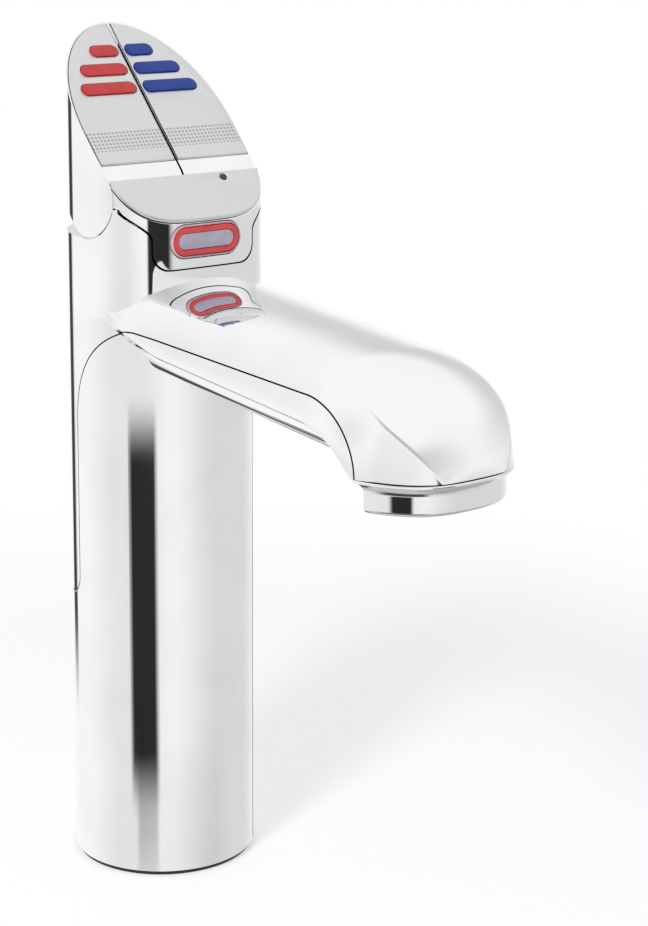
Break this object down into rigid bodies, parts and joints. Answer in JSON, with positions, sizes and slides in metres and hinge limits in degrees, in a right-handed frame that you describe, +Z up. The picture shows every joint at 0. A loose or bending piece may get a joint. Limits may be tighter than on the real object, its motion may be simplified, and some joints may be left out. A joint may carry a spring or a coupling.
{
  "type": "boiling water tap",
  "caption": "Tall chromed kitchen tap for boiling and chilled drinking water, with a straight spout, a slanted pair of levers and a safety button.",
  "frame": {"origin": "centre of the column's foot, on the worktop", "axes": "+Z up the column, -Y out along the spout, -X on the boiling lever's side"},
  "size_m": [0.06, 0.1821, 0.2763],
  "materials": {
    "chrome": "polished chrome plating",
    "chromed_plastic": "polished chrome plating on moulded plastic",
    "brushed_face": "fine satin",
    "red_plastic": "smooth red",
    "blue_plastic": "smooth blue",
    "lilac_plastic": "smooth translucent lilac grey",
    "clear_plastic": "clear with a pink cast",
    "dark_plastic": "dark grey",
    "grey_plastic": "mid grey moulding",
    "seal_rubber": "black rubber",
    "brass": "machined",
    "steel": "bright",
    "copper": "drawn tube",
    "board": "green circuit board"
  },
  "bodies": {
    "body": {"lower_shell": "chrome", "upper_shell": "chrome", "base_seal": "seal_rubber", "base_plate": "brass", "base_screw_1": "steel", "base_screw_2": "steel", "base_screw_3": "steel", "boiling_tube": "copper", "chilled_tube": "steel", "vent_tube": "steel", "outlet_collar": "chrome", "flow_insert": "grey_plastic", "outlet_manifold": "grey_plastic", "fascia_insert": "chrome", "fascia_plate": "brushed_face", "indicator_lens": "dark_plastic", "button_switch": "dark_plastic", "lever_carrier": "grey_plastic", "carrier_screw_1": "steel", "carrier_screw_2": "steel", "lever_axle": "steel", "control_board": "board", "boiling_return_spring": "steel", "chilled_return_spring": "steel", "boiling_switch": "dark_plastic", "chilled_switch": "dark_plastic"},
    "boiling_lever_body": {"boiling_lever": "chromed_plastic", "boiling_bush": "brass", "boiling_face": "brushed_face", "red_bar_1": "red_plastic", "red_bar_2": "red_plastic", "red_bar_3": "red_plastic"},
    "chilled_lever_body": {"chilled_lever": "chromed_plastic", "chilled_bush": "brass", "chilled_face": "brushed_face", "blue_bar_1": "blue_plastic", "blue_bar_2": "blue_plastic", "blue_bar_3": "blue_plastic"},
    "safety_button": {"button_lens": "clear_plastic", "button_ring": "red_plastic", "button_centre": "lilac_plastic", "button_plunger": "grey_plastic"}
  },
  "joints": [
    {"name": "boiling_lever_hinge", "type": "hinge", "parent": "body", "child": "boiling_lever_body", "pos_m": [-0.015, -0.0024, 0.2234], "axis": [1, 0, 0], "range_deg": [-12, 8], "stiffness_Nm_per_rad": 0.4},
    {"name": "chilled_lever_hinge", "type": "hinge", "parent": "body", "child": "chilled_lever_body", "pos_m": [0.015, -0.0024, 0.2234], "axis": [1, 0, 0], "range_deg": [-12, 8], "stiffness_Nm_per_rad": 0.4},
    {"name": "safety_button_slide", "type": "slide", "parent": "body", "child": "safety_button", "axis": [0, 1, 0], "range_m": [0, 0.0012], "stiffness_N_per_m": 400}
  ]
}
